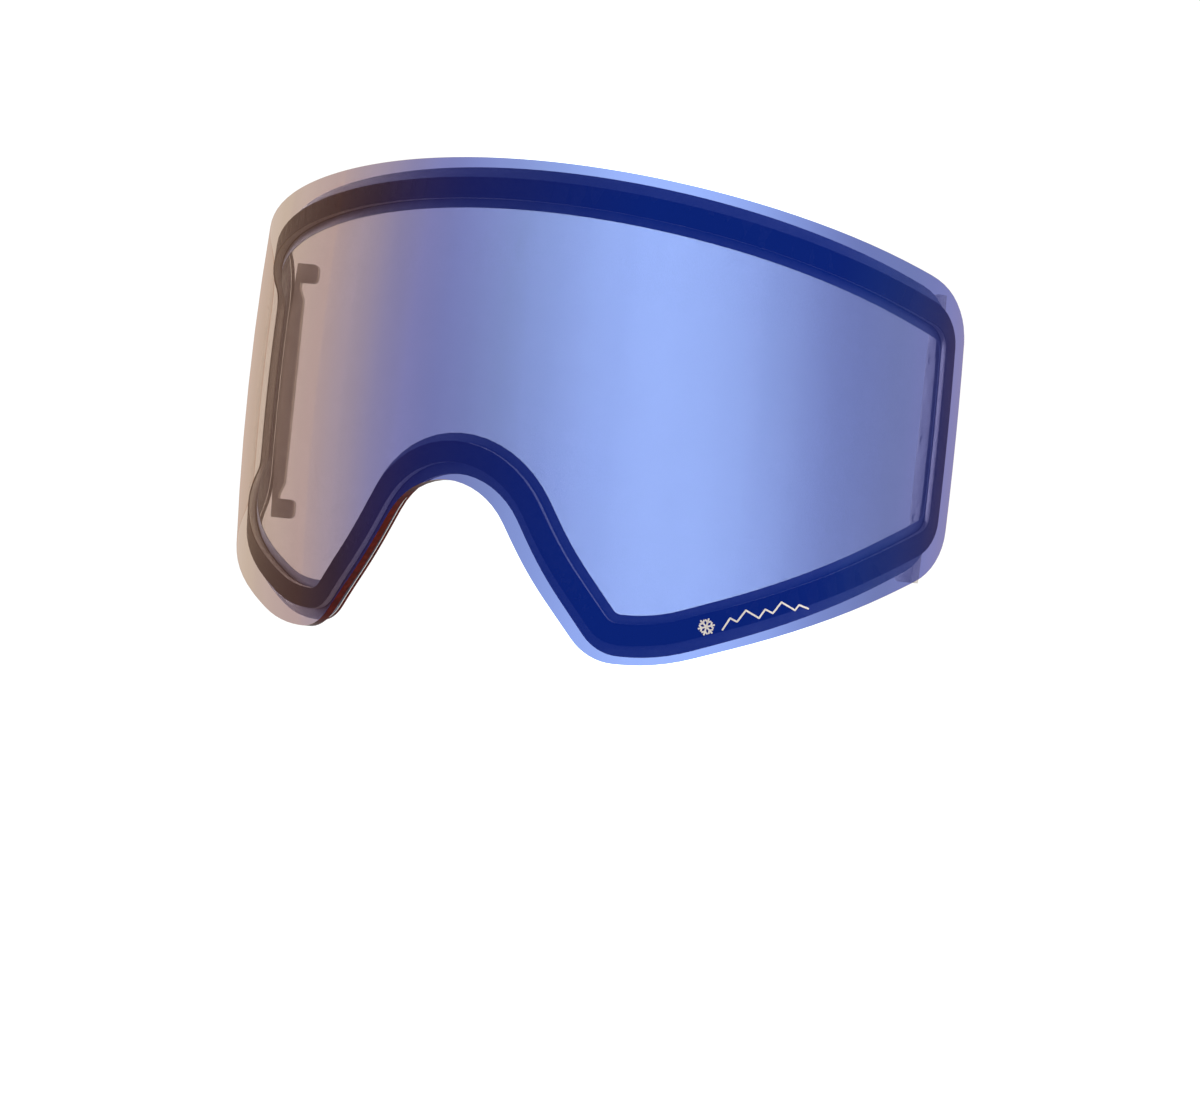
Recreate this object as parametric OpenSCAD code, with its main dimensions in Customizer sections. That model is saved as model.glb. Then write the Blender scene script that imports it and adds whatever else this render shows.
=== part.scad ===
// Frameless double lens for snow goggles: a wrapped outer lens, a spacer frame that
// seals a layer of dry air behind it, a thin inner lens, and at each temple a rail
// with two snap tabs that plug into the goggle frame.
//
// Axes: X across the face, to the wearer's left. Y from front to back. Z up.
// The origin is the centre of the unit's bounding box.
//
// Every piece is described on the unrolled front surface of the lens. There, s is the
// distance along the lens from its middle, z is the height, and d is the depth behind
// the front surface. place(s, z, d) rolls that up into X, Y and Z.

/* [Wrap] */
// Radius of the lens in front of the eyes, seen from above
front_r = 125; // [110:1:150]
// Radius of the lens at the temples, seen from above
temple_r = 68; // [60:1:90]
// Distance from the middle at which one radius passes into the other
blend_s = 57; // [50:1:65]
// Length that sets how softly it does so
blend_w = 9; // [5:1:12]
// Radius of the lens seen from the side
side_view_r = 580; // [450:10:900]

/* [Outline] */
// Distance from the middle to the temple edge, along the lens
half_w = 108; // [106:0.5:110]
// Height of the brow edge at the middle
brow_z = 43.4; // [41:0.2:45]
// Radius of the brow edge
brow_r = 320; // [300:5:340]
// Slope of the brow edge where it meets the temple corner, in degrees
brow_slope = 17.5; // [16:0.5:18]
// Lowest height of the two cheek lobes
cheek_z = -55.7; // [-57:0.1:-54]
// Height of the top of the nose arch
nose_z = -22.5; // [-24:0.1:-21]
// Radius of the nose arch
nose_r = 16.8; // [15:0.1:18]
// Slope of the nose arch's flanks, in degrees
nose_slope = 57; // [56:0.5:58]

/* [Layers] */
// Thickness of the outer lens
outer_t = 2.1; // [1.8:0.1:2.4]
// Thickness of the sealing film on the front of the inner lens
film_t = 0.2; // [0.1:0.05:0.3]
// Thickness of each double-sided tape
tape_t = 0.2; // [0.1:0.05:0.3]
// Thickness of the foam spacer
spacer_t = 1.6; // [1.2:0.1:2.4]
// Thickness of the inner lens
inner_t = 0.9; // [0.7:0.1:1.2]

/* [Rim band] */
// Distance from the rim to the outer side of the sealing film, and to the inner lens's rim
rim_w = 1.5; // [1.2:0.1:2.2]
// Distance from the rim to the outer side of the foam spacer
spacer_in = 3.8; // [3.4:0.1:4.2]
// Width of the foam spacer
spacer_w = 4.3; // [3.8:0.1:4.6]
// Distance from the rim to the inner side of the sealing film
film_in = 9.9; // [9.6:0.1:10.4]
// Bare rim at the temple edges, where the band is narrow
temple_rim_w = 0.4; // [0.3:0.1:0.8]
// Width of the band at the temple edges
temple_band_w = 2.4; // [2:0.1:3]

/* [Temple rails] */
// Thickness of a rail's wall
rail_t = 2; // [1.6:0.1:2.4]
// Height of the wall behind the inner lens
rail_h = 3; // [2:0.1:3.4]
// Upper end of the wall's full height
wall_top_z = 16.5; // [15:0.5:18]
// Lower end of the wall's full height
wall_low_z = -25.5; // [-26:0.5:-24]
// How far the wall is cut down between its full height and a tab
relief_h = 1; // [0.6:0.1:1.4]
// Length of the slope at each end of the full height
relief_slope = 2.8; // [2:0.1:3]
// Reach of the snap tabs behind the inner lens
tab_h = 5.9; // [5:0.1:7]
// Width of a snap tab
tab_w = 4.4; // [3.6:0.1:4.8]
// Radius of a snap tab's tip corners
tab_tip_r = 1.2; // [0.6:0.1:1.4]
// Height of the middle of the upper tab
tab_top_z = 22.8; // [22:0.1:24]
// Height of the middle of the lower tab
tab_low_z = -31.4; // [-32.4:0.1:-31]

/* [Hidden] */

// Depth of each layer's front behind the front surface
front_tape_d = outer_t;
spacer_d = front_tape_d + tape_t;
rear_tape_d = spacer_d + spacer_t;
film_d = rear_tape_d + tape_t;
inner_d = film_d + film_t;
rail_tape_d = inner_d + inner_t;
rail_d = rail_tape_d + tape_t;

// ---- The rolled-up surface ----

// Height at which the lens bulges furthest forward
bulge_z = -6.7;
// Length of the steps in which the plan is drawn, and their number
plan_step = 1;
plan_steps = 120;

// Direction of the lens, seen from above, at distance s from the middle, in degrees. It is
// the integral of a curvature that passes softly from 1 / front_r to 1 / temple_r.
function blend_area(s) =
    blend_w * ln((1 + exp((s - blend_s) / blend_w)) / (1 + exp(-blend_s / blend_w)));
function heading(s) =
    sign(s) * (abs(s) / front_r + (1 / temple_r - 1 / front_r) * blend_area(abs(s))) * 180 / PI;

// Plan of the lens: [s, x, y] at each step
PLAN = [
    for (
        i = 0, x = 0, y = 0;
        i <= plan_steps;
        x = x + plan_step * cos(heading((i + 0.5) * plan_step)),
        y = y + plan_step * sin(heading((i + 0.5) * plan_step)),
        i = i + 1
    )
    [i * plan_step, x, y]
];
PLAN_X = [for (p = PLAN) [p[0], p[1]]];
PLAN_Y = [for (p = PLAN) [p[0], p[2]]];

// How far the curve seen from the side sets a point back
function set_back(z) = pow(z - bulge_z, 2) / (2 * side_view_r);

// An unrolled point rolled up, with the origin still on the front of the lens
function roll_up(s, z, d) =
    let (a = heading(s), depth = d + set_back(z))
    [
        sign(s) * lookup(abs(s), PLAN_X) - depth * sin(a),
        lookup(abs(s), PLAN_Y) + depth * cos(a),
        z
    ];

// The band and the rails share one inner line at the temples
temple_in = temple_rim_w + temple_band_w;
rail_s = half_w - temple_in + rail_t / 2;
wall_d = rail_d + rail_h;
tab_d = rail_d + tab_h;

// Middle of the bounding box: the tips of the tabs reach furthest back
rear_y = roll_up(rail_s, bulge_z, tab_d)[1] + rail_t / 2 * sin(heading(rail_s));
centre_y = rear_y / 2;
centre_z = (brow_z + cheek_z) / 2;
function place(s, z, d) = roll_up(s, z, d) - [0, centre_y, centre_z];

// ---- The outline ----

// Corners of the outline on the wearer's left, from the middle of the brow round to the
// middle of the nose, each with its radius: [s, z, radius]
brow_peak_z = brow_z + brow_r * (1 / cos(brow_slope) - 1);
nose_peak_z = nose_z + nose_r * (1 / cos(nose_slope) - 1);
nose_foot_s = 20.3;
HALF_CORNERS = [
    [0, brow_peak_z, brow_r],
    [half_w, brow_peak_z - half_w * tan(brow_slope), 13],
    [half_w, -30, 12],
    [80, -44.5, 250],
    [48.5, cheek_z, 46],
    [34.5, cheek_z, 12],
    [nose_foot_s, nose_peak_z - nose_foot_s * tan(nose_slope), 90],
    [0, nose_peak_z, nose_r]
];
// Steps round each corner, and along the straight stretch after it
CORNER_STEPS = [48, 8, 8, 8, 6, 8, 6, 16];
STRETCH_STEPS = [2, 8, 4, 4, 1, 4, 2];
// No corner gets sharper than this when the outline is set in
sharpest_r = 1.2;

// Both halves, clockwise as the wearer's left is drawn on the right
nose = len(HALF_CORNERS) - 1;
temple = 1;
CORNERS = concat(
    HALF_CORNERS,
    [for (i = [nose - 1:-1:1]) [-HALF_CORNERS[i][0], HALF_CORNERS[i][1], HALF_CORNERS[i][2]]]
);
count = len(CORNERS);
function next(i) = (i + 1) % count;
function previous(i) = (i + count - 1) % count;
// The matching corner, and the matching stretch after it, in the half list
function half_corner(i) = min(i, count - i);
function half_stretch(i) = min(i, count - 1 - i);

function unit(v) = v / norm(v);
function cross2(a, b) = a[0] * b[1] - a[1] * b[0];
// Square to v on its right, which is into the lens
function inward(v) = [v[1], -v[0]];

// Corner i with every stretch set in by rim_in, and those at the temples by side_in
function stretch_in(i, rim_in, side_in) = half_stretch(i) == temple ? side_in : rim_in;
function corner_at(i, rim_in, side_in) =
    let (
        p = [CORNERS[i][0], CORNERS[i][1]],
        q = [CORNERS[previous(i)][0], CORNERS[previous(i)][1]],
        t = [CORNERS[next(i)][0], CORNERS[next(i)][1]],
        u = unit(p - q),
        v = unit(t - p),
        a = p + inward(u) * stretch_in(previous(i), rim_in, side_in),
        b = p + inward(v) * stretch_in(i, rim_in, side_in)
    )
    a + u * cross2(b - a, v) / cross2(u, v);

// Only the nose arch is hollow, so only its radius grows as the outline is set in
function radius_at(i, rim_in) =
    i == nose ? CORNERS[i][2] + rim_in : max(sharpest_r, CORNERS[i][2] - rim_in);

// Points round corner i
function corner_points(i, rim_in, side_in) =
    let (
        p = corner_at(i, rim_in, side_in),
        u = unit(p - corner_at(previous(i), rim_in, side_in)),
        v = unit(corner_at(next(i), rim_in, side_in) - p),
        turn = atan2(cross2(u, v), u * v),
        r = radius_at(i, rim_in),
        start = p - u * r * tan(abs(turn) / 2),
        spoke = inward(u) * r * sign(turn),
        steps = CORNER_STEPS[half_corner(i)]
    )
    [
        for (k = [0:steps])
        let (a = turn * k / steps)
        start - spoke + [spoke[0] * cos(a) - spoke[1] * sin(a), spoke[0] * sin(a) + spoke[1] * cos(a)]
    ];

// Points along the stretch after corner i, without its ends
function stretch_points(i, rim_in, side_in) =
    let (
        round_before = corner_points(i, rim_in, side_in),
        a = round_before[len(round_before) - 1],
        b = corner_points(next(i), rim_in, side_in)[0],
        steps = STRETCH_STEPS[half_stretch(i)]
    )
    [for (k = [1:1:steps - 1]) a + (b - a) * k / steps];

// Points of the outline from corner i to corner j, clockwise
function edge(i, j, rim_in, side_in) =
    [
        for (k = [i:j])
        each concat(
            corner_points(k % count, rim_in, side_in),
            k < j ? stretch_points(k % count, rim_in, side_in) : []
        )
    ];
function outline(rim_in, side_in) =
    concat(edge(0, count - 1, rim_in, side_in), stretch_points(count - 1, rim_in, side_in));

// ---- Shapes ----

// A closed frame between the outlines set in by outside and by inside, each given as
// [rim_in, side_in], from depth d to depth d + t
module rim_frame(outside, inside, d, t) {
    outer = outline(outside[0], outside[1]);
    inner = outline(inside[0], inside[1]);
    n = len(outer);
    points = [
        for (i = [0:n - 1])
        each [
            place(outer[i][0], outer[i][1], d),
            place(inner[i][0], inner[i][1], d),
            place(inner[i][0], inner[i][1], d + t),
            place(outer[i][0], outer[i][1], d + t)
        ]
    ];
    faces = [
        for (i = [0:n - 1], k = [0:3])
        let (a = 4 * i, b = 4 * ((i + 1) % n), m = (k + 1) % 4)
        each [[a + k, b + k, b + m], [a + k, b + m, a + m]]
    ];
    polyhedron(points, faces, convexity = 8);
}

// A sheet that fills the outline set in by [rim_in, side_in], from depth d to depth d + t.
// Its columns stand on the points of the lower edge and reach up to the brow.
sheet_rows = 6;
module sheet(set_in, d, t) {
    low = edge(temple + 1, count - temple - 1, set_in[0], set_in[1]);
    brow = edge(count - temple, count + temple, set_in[0], set_in[1]);
    n = len(low);
    column = 2 * (sheet_rows + 1);
    points = [
        for (c = [n - 1:-1:0], back = [0, 1], k = [0:sheet_rows])
        let (s = low[c][0], z = low[c][1], top = lookup(s, brow))
        place(s, z + (top - z) * k / sheet_rows, d + back * t)
    ];
    // Faces of the strip between two neighbouring columns, from corner a at its lower left
    front_and_back = [
        for (c = [0:n - 2], back = [0, 1], k = [0:sheet_rows - 1])
        let (
            a = c * column + back * (sheet_rows + 1) + k,
            b = a + column,
            quad = [a, a + 1, b + 1, b]
        )
        each back == 0 ? halves(quad) : halves([a, b, b + 1, a + 1])
    ];
    rims = [
        for (c = [0:n - 2], up = [0, 1])
        let (a = c * column + up * sheet_rows, b = a + column, behind = sheet_rows + 1)
        each up == 0 ? halves([a, b, b + behind, a + behind]) : halves([a, a + behind, b + behind, b])
    ];
    ends = [
        for (k = [0:sheet_rows - 1], right = [0, 1])
        let (a = right * (n - 1) * column + k, behind = sheet_rows + 1)
        each right == 0
            ? halves([a, a + behind, a + behind + 1, a + 1])
            : halves([a, a + 1, a + behind + 1, a + behind])
    ];
    polyhedron(points, concat(front_and_back, rims, ends), convexity = 8);
}
function halves(quad) = [[quad[0], quad[1], quad[2]], [quad[0], quad[2], quad[3]]];

// A plate that stands square on the back of the lens at the wearer's left temple, cut to
// profile, a list of [depth, z]
module temple_plate(profile) {
    foot = roll_up(rail_s, bulge_z, 0) - [0, centre_y, bulge_z + centre_z];
    translate(foot)
        rotate([0, 0, heading(rail_s)])
            translate([-rail_t / 2, 0, 0])
                rotate([90, 0, 90])
                    linear_extrude(rail_t) polygon(profile);
}

// A line along the back of the lens at depth d, from height a to height b
foot_steps = 10;
function foot_line(d, a, b) =
    [for (k = [0:foot_steps]) let (z = a + (b - a) * k / foot_steps) [d + set_back(z), z]];

// A quarter round about hub, from angle a
tip_steps = 5;
function quarter(hub, r, a) =
    [for (k = [0:tip_steps]) let (b = a + 90 * k / tip_steps) hub + r * [cos(b), sin(b)]];
function tab_tip(z) = concat(
    quarter([tab_d - tab_tip_r, z - tab_w / 2 + tab_tip_r], tab_tip_r, -90),
    quarter([tab_d - tab_tip_r, z + tab_w / 2 - tab_tip_r], tab_tip_r, 0)
);

// ---- Pieces ----

// The film, the tapes and the spacer: how far their two sides are set in
band_out = [rim_w, temple_rim_w];
film_inside = [film_in, temple_in];
spacer_outside = [spacer_in, temple_rim_w];
spacer_inside = [spacer_in + spacer_w, temple_in];

module outer_lens() {
    color([0.45, 0.55, 0.92, 0.7]) sheet([0, 0], 0, outer_t);
}
module sealing_film() {
    color([0.17, 0.27, 0.53]) rim_frame(band_out, film_inside, film_d, film_t);
}
module front_tape() {
    color([0.10, 0.14, 0.33]) rim_frame(spacer_outside, spacer_inside, front_tape_d, tape_t);
}
module foam_spacer() {
    color([0.02, 0.06, 0.30]) rim_frame(spacer_outside, spacer_inside, spacer_d, spacer_t);
}
module rear_tape() {
    color([0.10, 0.14, 0.33]) rim_frame(spacer_outside, spacer_inside, rear_tape_d, tape_t);
}
module inner_lens() {
    color([0.80, 0.72, 0.65, 0.5]) sheet(band_out, inner_d, inner_t);
}

// The tape stays clear of the inner lens's rounded corners
rail_tape_low_z = -20;
rail_tape_top_z = 12;
module rail_tape() {
    color([0.25, 0.20, 0.17])
        temple_plate(concat(
            foot_line(rail_d, rail_tape_low_z, rail_tape_top_z),
            foot_line(rail_tape_d, rail_tape_top_z, rail_tape_low_z)
        ));
}
module left_rail_tape() {
    rail_tape();
}
module right_rail_tape() {
    mirror([1, 0, 0]) rail_tape();
}

module temple_rail() {
    relief_d = wall_d - relief_h;
    color([0.45, 0.36, 0.30])
        temple_plate(concat(
            foot_line(rail_d, tab_top_z + tab_w / 2, tab_low_z - tab_w / 2),
            tab_tip(tab_low_z),
            [
                [relief_d, tab_low_z + tab_w / 2],
                [relief_d, wall_low_z - relief_slope],
                [wall_d, wall_low_z],
                [wall_d, wall_top_z],
                [relief_d, wall_top_z + relief_slope],
                [relief_d, tab_top_z - tab_w / 2]
            ],
            tab_tip(tab_top_z)
        ));
}
module left_temple_rail() {
    temple_rail();
}
module right_temple_rail() {
    mirror([1, 0, 0]) temple_rail();
}

outer_lens();
sealing_film();
front_tape();
foam_spacer();
rear_tape();
inner_lens();
left_rail_tape();
right_rail_tape();
left_temple_rail();
right_temple_rail();
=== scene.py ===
import math

import bpy
from mathutils import Matrix, Vector


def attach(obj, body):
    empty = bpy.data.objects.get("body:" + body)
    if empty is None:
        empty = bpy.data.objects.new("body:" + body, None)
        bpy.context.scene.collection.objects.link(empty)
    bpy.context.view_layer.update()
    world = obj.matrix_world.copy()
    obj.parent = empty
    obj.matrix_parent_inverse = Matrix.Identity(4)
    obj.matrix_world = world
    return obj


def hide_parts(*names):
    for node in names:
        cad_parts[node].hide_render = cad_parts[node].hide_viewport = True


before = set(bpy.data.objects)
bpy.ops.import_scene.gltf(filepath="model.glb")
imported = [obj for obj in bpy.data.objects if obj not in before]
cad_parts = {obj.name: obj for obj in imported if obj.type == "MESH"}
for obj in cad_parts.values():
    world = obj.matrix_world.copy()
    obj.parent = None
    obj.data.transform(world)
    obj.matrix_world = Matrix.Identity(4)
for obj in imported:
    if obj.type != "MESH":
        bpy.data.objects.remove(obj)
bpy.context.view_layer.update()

MM = 0.001
bpy.ops.object.select_all(action="DESELECT")


# ---- Camera: level with the nose, to the wearer's left of the lens, tilted a little ----

camera_place = Vector((0.3571, -0.5469, -0.02745))
camera_right = Vector((0.848, 0.520, 0.1025)).normalized()
camera_back = Vector((0.5229, -0.8524, -0.0012)).normalized()
camera_up = camera_back.cross(camera_right).normalized()
camera_right = camera_up.cross(camera_back).normalized()

camera_data = bpy.data.cameras.new("camera")
camera_data.lens = 93.53
camera_data.sensor_width = 36
camera_data.clip_start = 0.05
camera = bpy.data.objects.new("camera", camera_data)
bpy.context.scene.collection.objects.link(camera)
turn = Matrix((camera_right, camera_up, camera_back)).transposed()
camera.matrix_world = Matrix.Translation(camera_place) @ turn.to_4x4()
bpy.context.scene.camera = camera
bpy.context.scene.view_settings.view_transform = "Standard"


# ---- Node helpers ----


def linear(code):
    """An sRGB hex colour as linear red, green, blue and a full alpha."""
    parts = [int(code[i : i + 2], 16) / 255 for i in (1, 3, 5)]
    return tuple(c / 12.92 if c <= 0.04045 else ((c + 0.055) / 1.055) ** 2.4 for c in parts) + (1,)


def add(tree, kind, links=None, stops=None, ease="LINEAR", **settings):
    """Adds a node. links goes from its inputs to the outputs that feed them; a setting is an input
    where the node has one of that name, spaces written as _, and one of its own settings otherwise."""
    node = tree.nodes.new("ShaderNode" + kind)
    for name, value in settings.items():
        if hasattr(node, name):
            setattr(node, name, value)
    for name, value in settings.items():
        socket = name.replace("_", " ")
        if not hasattr(node, name):
            node.inputs[socket].default_value = value
    if stops:
        ramp = node.color_ramp
        ramp.interpolation = ease
        while len(ramp.elements) < len(stops):
            ramp.elements.new(1)
        for element, (place, code) in zip(ramp.elements, stops):
            element.position = place
            element.color = linear(code)
    for name, output in (links or {}).items():
        tree.links.new(output, node.inputs[name])
    return node


def material(name):
    """A new material with only its output; gives the material, its tree and that output's socket."""
    made = bpy.data.materials.new(name)
    made.use_nodes = True
    made.node_tree.nodes.clear()
    output = made.node_tree.nodes.new("ShaderNodeOutputMaterial")
    return made, made.node_tree, output.inputs["Surface"]


# ---- Studio ----

# White paper all round, with a brighter soft panel every 15 degrees. Seen straight, all of it is
# past white; through the tinted lens the panels are soft upright bands. Only what the camera sees
# has them: reflections and the light on the pieces have their own, plainer light below.
PANEL_STEP = math.radians(15)
# Bearing of one panel from the camera's line of sight, and how far its glow reaches each way
PANEL_MIDDLE = 0.0231
PANEL_LEFT_EDGE = 0.085
PANEL_RIGHT_EDGE = 0.070
BACKLIGHT_STRENGTH = 3.0
ROOM_STRENGTH = 8.0
SOFT_STRENGTH = 0.4

world = bpy.data.worlds.new("studio")
bpy.context.scene.world = world
world.use_nodes = True
sky = world.node_tree
sky.nodes.clear()
ray = add(sky, "TexCoord").outputs["Generated"]
across = add(sky, "VectorMath", {0: ray}, operation="DOT_PRODUCT")
across.inputs[1].default_value = camera_right
away = add(sky, "VectorMath", {0: ray}, operation="DOT_PRODUCT")
away.inputs[1].default_value = -camera_back
bearing = add(sky, "Math", {0: across.outputs["Value"], 1: away.outputs["Value"]}, operation="ARCTAN2")
from_panel = add(sky, "Math", {0: bearing.outputs[0]}, operation="SUBTRACT")
from_panel.inputs[1].default_value = PANEL_MIDDLE
wrapped = add(sky, "Math", {0: from_panel.outputs[0]}, operation="WRAP")
wrapped.inputs[1].default_value = -PANEL_STEP / 2
wrapped.inputs[2].default_value = PANEL_STEP / 2
step = add(
    sky, "MapRange", {"Value": wrapped.outputs[0]}, From_Min=-PANEL_STEP / 2, From_Max=PANEL_STEP / 2,
)
backlight = add(
    sky, "ValToRGB", {"Fac": step.outputs[0]}, ease="EASE",
    stops=[
        (0.5 - PANEL_LEFT_EDGE / PANEL_STEP, "#A0A0A0"),
        (0.5, "#E6FAFF"),
        (0.5 + PANEL_RIGHT_EDGE / PANEL_STEP, "#A0A0A0"),
    ],
)
seen = add(sky, "Background", {"Color": backlight.outputs[0]}, Strength=BACKLIGHT_STRENGTH)

# What shiny faces mirror: a dim room, brighter and warmer toward the camera's right
halfway = add(sky, "MapRange", {"Value": across.outputs["Value"]}, From_Min=-1, From_Max=1)
room = add(
    sky, "ValToRGB", {"Fac": halfway.outputs[0]},
    stops=[(0.0, "#636363"), (0.75, "#636363"), (0.935, "#8F8C70")],
)
mirrored = add(sky, "Background", {"Color": room.outputs[0]}, Strength=ROOM_STRENGTH)
soft = add(sky, "Background", Color=linear("#FFFFFF"), Strength=SOFT_STRENGTH)
path = add(sky, "LightPath")
indoors = add(
    sky, "MixShader", {0: path.outputs["Is Glossy Ray"], 1: soft.outputs[0], 2: mirrored.outputs[0]},
)
all_round = add(
    sky, "MixShader", {0: path.outputs["Is Camera Ray"], 1: indoors.outputs[0], 2: seen.outputs[0]},
)
add(sky, "OutputWorld", {"Surface": all_round.outputs[0]})

# White board under the lens unit, bright enough to join the white behind it
FLOOR_Z = -0.12
FLOOR_RADIUS = 1.6
bpy.ops.mesh.primitive_circle_add(
    vertices=64, radius=FLOOR_RADIUS, fill_type="NGON", location=(0, 0, FLOOR_Z),
)
floor = bpy.context.object
floor.name = "floor"
board, tree, surface = material("white board, matt")
paint = add(
    tree, "BsdfPrincipled", Base_Color=linear("#F4F4F2"), Roughness=0.9,
    Emission_Color=linear("#FFFFFF"), Emission_Strength=1.05,
)
tree.links.new(paint.outputs[0], surface)
floor.data.materials.append(board)
floor.visible_glossy = False
floor.visible_diffuse = False

# Soft boxes, one beyond each temple
SOFT_BOX_SIZE = 0.6
for name, place, power in [
    ("left soft box", (0.80, -0.02, 0.10), 14.0),
    ("right soft box", (-0.80, -0.02, 0.10), 75.0),
]:
    lamp = bpy.data.lights.new(name, "AREA")
    lamp.size = SOFT_BOX_SIZE
    lamp.energy = power
    light = bpy.data.objects.new(name, lamp)
    light.location = place
    light.rotation_euler = Vector(place).to_track_quat("Z", "Y").to_euler()
    light.visible_camera = False
    light.visible_glossy = False
    bpy.context.scene.collection.objects.link(light)


# ---- Materials ----


def mirror_coated_front():
    # Injection-moulded polycarbonate with a vacuum-coated dielectric mirror: almost no mirror
    # image, a violet-blue tint face on that turns rose and then straw as the surface turns away,
    # and a warm rose view from behind.
    made, tree, surface = material("mirror-coated polycarbonate")
    facing = add(tree, "LayerWeight", Blend=0.5).outputs["Facing"]
    through = add(
        tree, "ValToRGB", {"Fac": facing},
        stops=[
            (0.0, "#757DA1"), (0.13, "#767EA3"), (0.20, "#7D82B0"), (0.25, "#8485B3"),
            (0.30, "#908CAF"), (0.34, "#9E94AA"), (0.40, "#AE9FA9"), (0.46, "#BBA6A4"),
            (0.72, "#C6B6A6"), (1.0, "#CABBAF"),
        ],
    )
    mirror = add(
        tree, "ValToRGB", {"Fac": facing},
        stops=[
            (0.0, "#104BEC"), (0.04, "#104BEC"), (0.13, "#2742C8"), (0.21, "#353EB0"),
            (0.36, "#674863"), (0.46, "#885D55"), (0.72, "#BC9077"), (1.0, "#DAB3A0"),
        ],
    )
    # Coating thickness drifts a little round the lens, in upright bands 4 to 15 mm wide
    place = add(tree, "TexCoord").outputs["Object"]
    stretched = add(tree, "Mapping", {"Vector": place}, Scale=(1, 1, 0.02))
    bands = add(tree, "TexNoise", {"Vector": stretched.outputs[0]}, Scale=90.0, Detail=3.0)
    drift = add(
        tree, "MapRange", {"Value": bands.outputs[0]},
        From_Min=0.3, From_Max=0.7, To_Min=0.965, To_Max=1.035,
    )
    tint = add(tree, "VectorMath", {0: through.outputs[0], "Scale": drift.outputs[0]}, operation="SCALE")
    from_behind = add(
        tree, "ValToRGB", {"Fac": facing},
        stops=[(0.0, "#F2C3A4"), (0.35, "#F4CDB4"), (0.65, "#FFFFFF")],
    )
    # What lights the layers behind comes in untinted; only the view out is rose
    looking = add(tree, "LightPath").outputs["Is Camera Ray"]
    outward = add(tree, "Mix", {0: looking, 7: from_behind.outputs[0]}, data_type="RGBA")
    outward.inputs[6].default_value = linear("#FFFFFF")
    rear = add(tree, "NewGeometry").outputs["Backfacing"]
    passed = add(tree, "Mix", {0: rear, 6: tint.outputs[0], 7: outward.outputs[2]}, data_type="RGBA")
    clear = add(tree, "BsdfTransparent", {"Color": passed.outputs[2]})
    gloss = add(tree, "BsdfGlossy", {"Color": mirror.outputs[0]}, Roughness=0.02)
    coat = add(tree, "MixShader", {1: clear.outputs[0], 2: gloss.outputs[0]}, Fac=0.2)
    tree.links.new(coat.outputs[0], surface)
    return made


def clear_face(name, tint, sheen):
    # Polished clear sheet: colourless face on, with a weak reflection that grows at a slant.
    made, tree, surface = material(name)
    facing = add(tree, "LayerWeight", Blend=0.5).outputs["Facing"]
    steep = add(tree, "Math", {0: facing}, operation="POWER")
    steep.inputs[1].default_value = 5
    weak = add(tree, "MapRange", {"Value": steep.outputs[0]}, To_Min=sheen, To_Max=12 * sheen)
    place = add(tree, "TexCoord").outputs["Object"]
    haze = add(tree, "TexNoise", {"Vector": place}, Scale=60.0, Detail=2.0)
    rough = add(tree, "MapRange", {"Value": haze.outputs[0]}, To_Min=0.02, To_Max=0.06)
    clear = add(tree, "BsdfTransparent", Color=linear(tint))
    gloss = add(tree, "BsdfGlossy", {"Roughness": rough.outputs[0]}, Color=linear("#FFFFFF"))
    mixed = add(tree, "MixShader", {0: weak.outputs[0], 1: clear.outputs[0], 2: gloss.outputs[0]})
    tree.links.new(mixed.outputs[0], surface)
    return made


def cut_edge(name, dark, bright, clear_inside):
    # The rim of a sheet gathers its colour: deep red here, faintly grained by the cutter, with
    # almost no shine.
    made, tree, surface = material(name)
    place = add(tree, "TexCoord").outputs["Object"]
    lines = add(tree, "TexNoise", {"Vector": place}, Scale=900.0, Detail=2.0)
    colour = add(tree, "ValToRGB", {"Fac": lines.outputs[0]}, stops=[(0.35, dark), (0.7, bright)])
    bump = add(tree, "Bump", {"Height": lines.outputs[0]}, Strength=0.15, Distance=0.05 * MM)
    edge = add(
        tree, "BsdfPrincipled", {"Base Color": colour.outputs[0], "Normal": bump.outputs[0]},
        Roughness=0.35, IOR=1.58, Specular_IOR_Level=0.03,
    )
    if clear_inside:
        # Looked at through the sheet, the rim lets the light straight out
        inside = add(tree, "NewGeometry").outputs["Backfacing"]
        open_rim = add(tree, "BsdfTransparent", Color=linear("#FFFFFF"))
        edge = add(tree, "MixShader", {0: inside, 1: edge.outputs[0], 2: open_rim.outputs[0]})
    tree.links.new(edge.outputs[0], surface)
    return made


def satin_film():
    # Slate grey polyester sealing film, embossed: a satin skin, a little paler than the tape beside
    # it. Emboss pitch 0.4 mm.
    made, tree, surface = material("polyester film, embossed satin")
    place = add(tree, "TexCoord").outputs["Object"]
    emboss = add(tree, "TexVoronoi", {"Vector": place}, Scale=2500.0)
    cloud = add(tree, "TexNoise", {"Vector": place}, Scale=120.0, Detail=3.0)
    colour = add(tree, "ValToRGB", {"Fac": cloud.outputs[0]}, stops=[(0.3, "#434857"), (0.7, "#4F5464")])
    rough = add(tree, "MapRange", {"Value": cloud.outputs[0]}, To_Min=0.38, To_Max=0.55)
    bump = add(tree, "Bump", {"Height": emboss.outputs["Distance"]}, Strength=0.2, Distance=0.05 * MM)
    skin = add(
        tree, "BsdfPrincipled",
        {"Base Color": colour.outputs[0], "Roughness": rough.outputs[0], "Normal": bump.outputs[0]},
        IOR=1.5,
    )
    tree.links.new(skin.outputs[0], surface)
    return made


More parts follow.
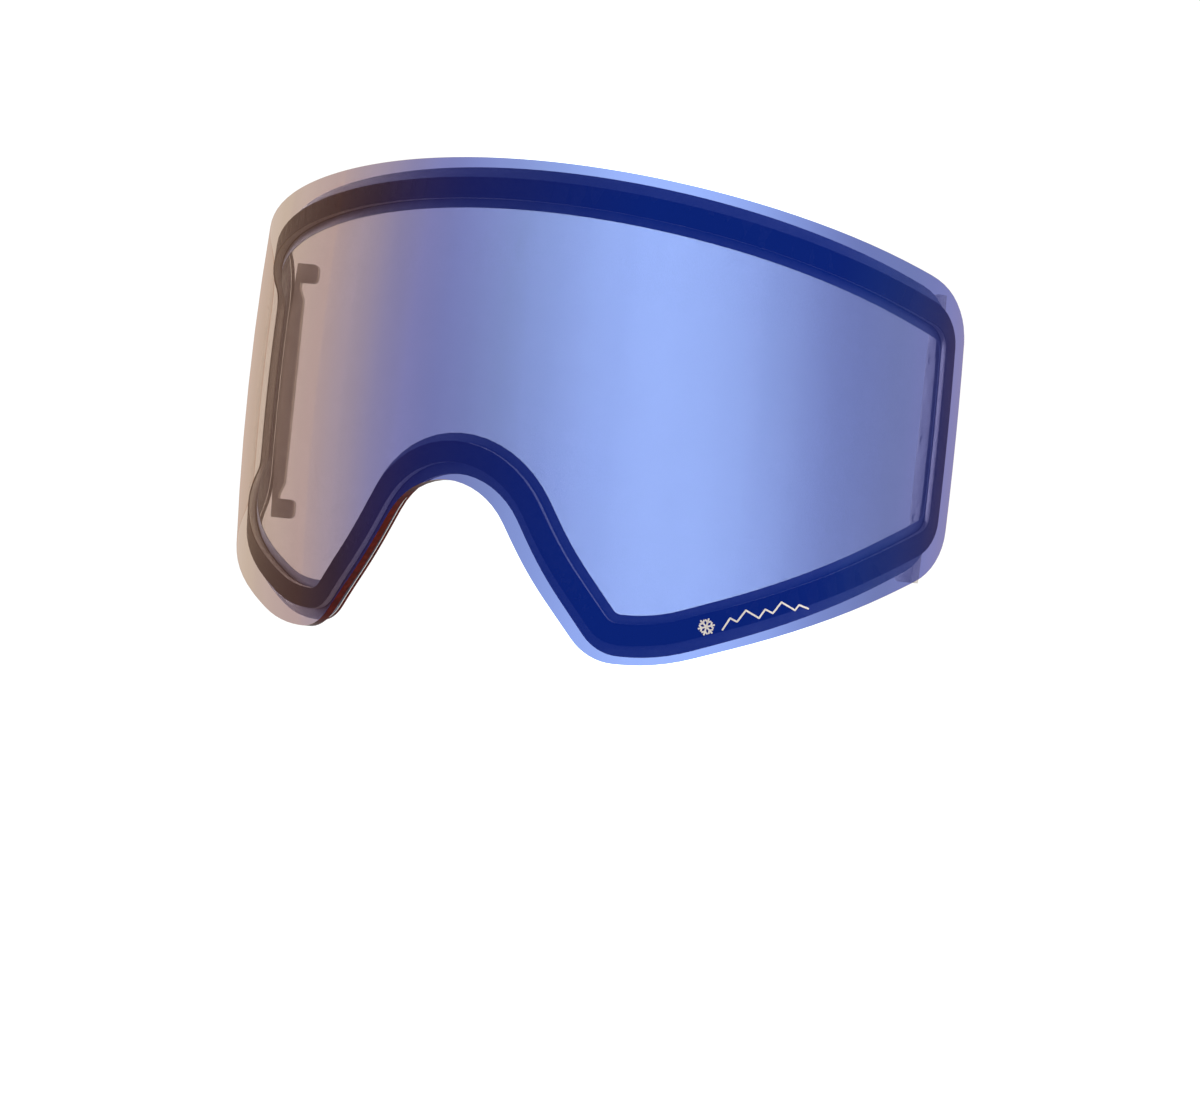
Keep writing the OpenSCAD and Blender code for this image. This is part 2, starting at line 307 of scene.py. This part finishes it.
def adhesive_tape(name, dark, bright, shine):
    # Acrylic adhesive, as tape or as a bead: a slightly tacky sheen over a faint grain of about
    # 0.5 mm.
    made, tree, surface = material(name)
    place = add(tree, "TexCoord").outputs["Object"]
    grain = add(tree, "TexNoise", {"Vector": place}, Scale=1800.0, Detail=4.0)
    colour = add(tree, "ValToRGB", {"Fac": grain.outputs[0]}, stops=[(0.35, dark), (0.65, bright)])
    rough = add(tree, "MapRange", {"Value": grain.outputs[0]}, To_Min=0.48, To_Max=0.6)
    bump = add(tree, "Bump", {"Height": grain.outputs[0]}, Strength=0.25, Distance=0.05 * MM)
    tape = add(
        tree, "BsdfPrincipled",
        {"Base Color": colour.outputs[0], "Roughness": rough.outputs[0], "Normal": bump.outputs[0]},
        IOR=1.47, Specular_IOR_Level=shine,
    )
    tree.links.new(tape.outputs[0], surface)
    return made


def cell_foam():
    # Die-cut closed-cell polyethylene foam: dead matt mid grey, pitted along the cut by opened
    # cells 0.4 mm across, each pit painted a little darker toward its bottom as painted shade.
    made, tree, surface = material("closed-cell foam, die-cut")
    place = add(tree, "TexCoord").outputs["Object"]
    cells = add(tree, "TexVoronoi", {"Vector": place}, Scale=2500.0)
    # Painted shade in the pits: the grey runs from darker at each cell's pit to paler at its rim,
    # following the bump
    colour = add(
        tree, "ValToRGB", {"Fac": cells.outputs["Distance"]},
        stops=[(0.1, "#86827F"), (0.55, "#9A9693")],
    )
    bump = add(tree, "Bump", {"Height": cells.outputs["Distance"]}, Strength=0.8, Distance=0.15 * MM)
    foam = add(
        tree, "BsdfPrincipled", {"Base Color": colour.outputs[0], "Normal": bump.outputs[0]},
        Roughness=0.95, IOR=1.45, Specular_IOR_Level=0.2,
    )
    tree.links.new(foam.outputs[0], surface)
    return made


def moulded_nylon():
    # Injection-moulded nylon, spark-eroded mould: even mid grey with a fine pebbled grain of
    # 0.2 mm and a soft sheen.
    made, tree, surface = material("moulded nylon, fine texture")
    place = add(tree, "TexCoord").outputs["Object"]
    pebble = add(tree, "TexNoise", {"Vector": place}, Scale=3500.0, Detail=2.0)
    flow = add(tree, "TexNoise", {"Vector": place}, Scale=90.0, Detail=2.0)
    colour = add(tree, "ValToRGB", {"Fac": flow.outputs[0]}, stops=[(0.3, "#8C8885"), (0.7, "#989491")])
    rough = add(tree, "MapRange", {"Value": pebble.outputs[0]}, To_Min=0.42, To_Max=0.6)
    bump = add(tree, "Bump", {"Height": pebble.outputs[0]}, Strength=0.3, Distance=0.06 * MM)
    nylon = add(
        tree, "BsdfPrincipled",
        {"Base Color": colour.outputs[0], "Roughness": rough.outputs[0], "Normal": bump.outputs[0]},
        IOR=1.53,
    )
    tree.links.new(nylon.outputs[0], surface)
    return made


def printed_ink():
    # Pad-printed ink, one pass: champagne grey, slightly uneven where the pad lifted.
    made, tree, surface = material("pad-printed ink, satin")
    place = add(tree, "TexCoord").outputs["Object"]
    patchy = add(tree, "TexNoise", {"Vector": place}, Scale=1500.0, Detail=3.0)
    colour = add(tree, "ValToRGB", {"Fac": patchy.outputs[0]}, stops=[(0.3, "#B3AAA2"), (0.7, "#C9C1B9")])
    rough = add(tree, "MapRange", {"Value": patchy.outputs[0]}, To_Min=0.35, To_Max=0.5)
    ink = add(
        tree, "BsdfPrincipled", {"Base Color": colour.outputs[0], "Roughness": rough.outputs[0]},
        IOR=1.5,
    )
    tree.links.new(ink.outputs[0], surface)
    return made


coated_front = mirror_coated_front()
plain_back = clear_face("polished polycarbonate, back", "#FFFFFF", 0.01)
red_edge = cut_edge("tinted polycarbonate, cut edge", "#360300", "#520E02", True)
clear_sheet = clear_face("cellulose propionate, anti-fog", "#FDFCFA", 0.01)
clear_rim = cut_edge("cellulose propionate, cut edge", "#360300", "#520E02", False)
film_skin = satin_film()
front_adhesive = adhesive_tape("acrylic tape, front", "#060607", "#0C0C0E", 0.3)
rear_adhesive = adhesive_tape("acrylic tape, rear", "#0A0A0C", "#16161A", 0.3)
foam_cells = cell_foam()
nylon = moulded_nylon()
rail_adhesive = adhesive_tape("acrylic tape, rail", "#86827F", "#96928F", 0.3)
sealing_bead = adhesive_tape("acrylic sealing bead, grey", "#7E7A77", "#8E8A87", 0.2)
ink = printed_ink()


# ---- Mesh helpers ----


def work_on(piece):
    """Makes piece the only selected object, in edit mode with nothing selected in it."""
    if bpy.context.object:
        bpy.ops.object.mode_set(mode="OBJECT")
    bpy.ops.object.select_all(action="DESELECT")
    piece.select_set(True)
    bpy.context.view_layer.objects.active = piece
    bpy.ops.object.mode_set(mode="EDIT")
    bpy.ops.mesh.select_mode(type="FACE")
    bpy.ops.mesh.select_all(action="DESELECT")


# Bonded pieces keep this much clear of each other's faces, on each side
BOND_GAP = 0.02 * MM


def merged_copy(node, name):
    """A piece with the shape of a CAD node, its loose triangles merged and paired into quads. It is
    a hair smaller all over, so that pieces bonded together don't share a face."""
    piece = bpy.data.objects.new(name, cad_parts[node].data.copy())
    bpy.context.scene.collection.objects.link(piece)
    piece.data.materials.clear()
    for layer in list(piece.data.uv_layers):
        piece.data.uv_layers.remove(layer)
    work_on(piece)
    bpy.ops.mesh.select_all(action="SELECT")
    bpy.ops.mesh.remove_doubles(threshold=0.01 * MM)
    bpy.ops.mesh.tris_convert_to_quads(face_threshold=math.radians(40), shape_threshold=math.radians(60))
    bpy.ops.mesh.normals_make_consistent(inside=False)
    bpy.ops.transform.shrink_fatten(value=-BOND_GAP)
    bpy.ops.mesh.select_all(action="DESELECT")
    bpy.ops.object.mode_set(mode="OBJECT")
    if piece.data.has_custom_normals:
        bpy.ops.mesh.customdata_custom_splitnormals_clear()
    return piece


def select_face_of_sheet(piece, side):
    """In edit mode, selects a whole face of a curved sheet: its front for side -1, its back for 1."""
    bpy.ops.object.mode_set(mode="OBJECT")
    square_on = [f for f in piece.data.polygons if f.normal.y * side > 0.9 and f.center.z > 0]
    seed = min(square_on, key=lambda f: abs(f.center.x) - 0.001 * side * f.center.y)
    for face in piece.data.polygons:
        face.select = face == seed
    bpy.ops.object.mode_set(mode="EDIT")
    bpy.ops.mesh.faces_select_linked_flat(sharpness=math.radians(50))


def give(piece, slot_index):
    piece.active_material_index = slot_index
    bpy.ops.object.material_slot_assign()


def soften(piece, width, segments, angle=50):
    """Bevels every edge sharper than angle."""
    bevel = piece.modifiers.new("soft edge", "BEVEL")
    bevel.width = width
    bevel.segments = segments
    bevel.limit_method = "ANGLE"
    bevel.angle_limit = math.radians(angle)
    bevel.use_clamp_overlap = True
    bpy.context.view_layer.objects.active = piece
    bpy.ops.object.modifier_apply(modifier=bevel.name)


def smooth(piece, angle=40):
    """Shades the piece smooth across every edge flatter than angle."""
    bpy.ops.object.mode_set(mode="OBJECT")
    bpy.ops.object.select_all(action="DESELECT")
    piece.select_set(True)
    bpy.context.view_layer.objects.active = piece
    bpy.ops.object.shade_smooth_by_angle(angle=math.radians(angle))


def place_on_unit(piece, node):
    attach(piece, "root")
    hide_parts(node)


def cut_out(piece, cutter):
    """Cuts the cutter's shape out of piece and deletes the cutter."""
    cut = piece.modifiers.new("cut-out", "BOOLEAN")
    cut.operation = "DIFFERENCE"
    cut.object = cutter
    bpy.ops.object.mode_set(mode="OBJECT")
    bpy.context.view_layer.objects.active = piece
    bpy.ops.object.modifier_apply(modifier=cut.name)
    bpy.data.objects.remove(cutter)


# ---- Lenses ----


def lens_sheet(node, name, rim, front, back, front_round, back_round):
    """A moulded sheet: its rim, front and back each with their own finish, both rims rounded."""
    piece = merged_copy(node, name)
    for finish in (rim, front, back):
        piece.data.materials.append(finish)
    for side, finish_index, radius, segments in ((-1, 1, front_round, 3), (1, 2, back_round, 2)):
        work_on(piece)
        select_face_of_sheet(piece, side)
        give(piece, finish_index)
        bpy.ops.mesh.region_to_loop()
        bpy.ops.mesh.bevel(
            offset=radius, segments=segments, affect="EDGES", clamp_overlap=True,
            material=finish_index if side < 0 else 0,
        )
    smooth(piece)
    even = piece.modifiers.new("even faces", "WEIGHTED_NORMAL")
    even.keep_sharp = True
    bpy.ops.object.modifier_apply(modifier=even.name)
    place_on_unit(piece, node)
    return piece


outer = lens_sheet(
    "outer_lens", "outer_lens_moulded", red_edge, coated_front, plain_back,
    0.35 * MM, 0.15 * MM,
)
inner = lens_sheet(
    "inner_lens", "inner_lens_sheet", clear_rim, clear_sheet, clear_sheet,
    0.12 * MM, 0.12 * MM,
)

# At each temple the inner lens's rim is sealed with a bead of grey adhesive
BEAD_FROM_X = 60 * MM
inner.data.materials.append(sealing_bead)
rim_index, bead_index = 0, 3
for face in inner.data.polygons:
    if face.material_index == rim_index and abs(face.center.x) > BEAD_FROM_X:
        face.material_index = bead_index


# ---- Film, tapes and foam ----


def ring(node, name, finish, width=0, segments=0):
    """A piece of one finish. With a width, its sharp edges are rounded by that much."""
    piece = merged_copy(node, name)
    piece.data.materials.append(finish)
    if width:
        soften(piece, width, segments)
    smooth(piece)
    place_on_unit(piece, node)
    return piece


ring("front_tape", "front_tape_strip", front_adhesive)
foam = ring("foam_spacer", "foam_spacer_cut", foam_cells, 0.3 * MM, 3)
ring("rear_tape", "rear_tape_strip", rear_adhesive)
ring("sealing_film", "sealing_film_skin", film_skin)


# ---- Temple rails ----

# Middle of the left rail's seat, the way into the hollow behind the lens, and the way outward
# along the lens
RAIL_SEAT = Vector((0.07978, 0.02491, 0.00165))
RAIL_IN = Vector((-0.9245, 0.3813, 0))
RAIL_ALONG = Vector((0.3813, 0.9245, 0))
PIN_RADIUS = 0.85 * MM
PIN_DEPTH = 0.15 * MM
PIN_HEIGHTS = (-16 * MM, 0, 16 * MM)


def pin_marks(mirror):
    """Three short pins on the rail's inner face, where the mould's ejectors pushed."""
    middle = RAIL_SEAT - RAIL_IN * 1.5 * MM - RAIL_ALONG * 1.0 * MM
    for height in PIN_HEIGHTS:
        bpy.ops.mesh.primitive_cylinder_add(vertices=24, radius=PIN_RADIUS, depth=2 * PIN_DEPTH)
        pin = bpy.context.object
        pin.rotation_euler = RAIL_ALONG.to_track_quat("Z", "X").to_euler()
        pin.location = middle + Vector((0, 0, height))
        bpy.ops.object.transform_apply(location=True, rotation=True, scale=True)
        if mirror:
            bpy.ops.transform.mirror(constraint_axis=(True, False, False), center_override=(0, 0, 0))
            bpy.ops.object.transform_apply(location=True, rotation=True, scale=True)
            work_on(pin)
            bpy.ops.mesh.select_all(action="SELECT")
            bpy.ops.mesh.normals_make_consistent(inside=False)
            bpy.ops.object.mode_set(mode="OBJECT")
        yield pin


for side in ("left", "right"):
    ring(side + "_rail_tape", side + "_rail_tape_strip", rail_adhesive)
    rail = ring(side + "_temple_rail", side + "_temple_rail_moulded", nylon, 0.25 * MM, 3)
    for pin in list(pin_marks(side == "right")):
        cut_out(rail, pin)
    smooth(rail)


# ---- Printed mark: a snow crystal beside a ridge of peaks ----

MARK_PLACE = Vector((0.0632, -0.0071, -0.0371))
MARK_RISE = math.radians(19.6)
STROKE = 0.34 * MM
RIDGE = [
    (-6.9, -1.2), (-4.9, 0.7), (-3.7, -0.3), (-1.5, 1.5), (0.7, -0.6), (2.3, 0.8),
    (3.6, -0.3), (5.8, 1.4), (8.1, -0.8), (9.2, 0.0), (10.9, -1.2),
]
CRYSTAL = (-9.9, 0.1)
ARM = 1.65
TWIG_AT = 0.95
TWIG = 0.65
INK_LIFT = 0.05 * MM
INK_THICKNESS = 0.03 * MM


def stroke(start, end):
    """A flat strip with rounded tips from start to end, in millimetres on the mark's own plane."""
    a, b = Vector(start) * MM, Vector(end) * MM
    bpy.ops.mesh.primitive_plane_add(size=1, location=(*(a + b) / 2, 0))
    strip = bpy.context.object
    strip.scale = ((b - a).length + STROKE * 0.6, STROKE, 1)
    strip.rotation_euler.z = math.atan2(b.y - a.y, b.x - a.x)
    bpy.ops.object.transform_apply(location=True, rotation=True, scale=True)
    bpy.ops.object.mode_set(mode="EDIT")
    bpy.ops.mesh.bevel(offset=STROKE * 0.3, segments=2, affect="VERTICES")
    bpy.ops.object.mode_set(mode="OBJECT")
    return strip


bpy.ops.object.mode_set(mode="OBJECT")
strips = [stroke(a, b) for a, b in zip(RIDGE, RIDGE[1:])]
hub = Vector(CRYSTAL)
for sixth in range(6):
    way = Vector((math.cos(sixth * math.pi / 3), math.sin(sixth * math.pi / 3)))
    strips.append(stroke(hub, hub + way * ARM))
    for lean in (-1, 1):
        angle = sixth * math.pi / 3 + lean * math.pi / 3
        fork = hub + way * TWIG_AT
        strips.append(stroke(fork, fork + Vector((math.cos(angle), math.sin(angle))) * TWIG))
bpy.ops.object.select_all(action="DESELECT")
for strip in strips:
    strip.select_set(True)
bpy.context.view_layer.objects.active = strips[0]
bpy.ops.object.join()
mark = bpy.context.object
mark.name = "printed_mark"
_, spot, out, _ = outer.closest_point_on_mesh(MARK_PLACE)
level = Vector((0, 0, 1)).cross(out).normalized()
along = level * math.cos(MARK_RISE) + Vector((0, 0, math.sin(MARK_RISE)))
along.normalize()
up = out.cross(along).normalized()
turn = Matrix((along, up, out)).transposed()
mark.matrix_world = Matrix.Translation(spot + out * 0.5 * MM) @ turn.to_4x4()
bpy.ops.object.transform_apply(location=True, rotation=True, scale=True)
work_on(mark)
bpy.ops.mesh.select_all(action="SELECT")
bpy.ops.mesh.subdivide(number_cuts=2)
bpy.ops.object.mode_set(mode="OBJECT")
wrap = mark.modifiers.new("on the lens", "SHRINKWRAP")
wrap.target = outer
wrap.wrap_method = "NEAREST_SURFACEPOINT"
wrap.wrap_mode = "ABOVE_SURFACE"
wrap.offset = INK_LIFT
bpy.ops.object.modifier_apply(modifier=wrap.name)
layer = mark.modifiers.new("ink", "SOLIDIFY")
layer.thickness = INK_THICKNESS
layer.offset = 0
bpy.ops.object.modifier_apply(modifier=layer.name)
mark.data.materials.clear()
mark.data.materials.append(ink)
smooth(mark)
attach(mark, "root")
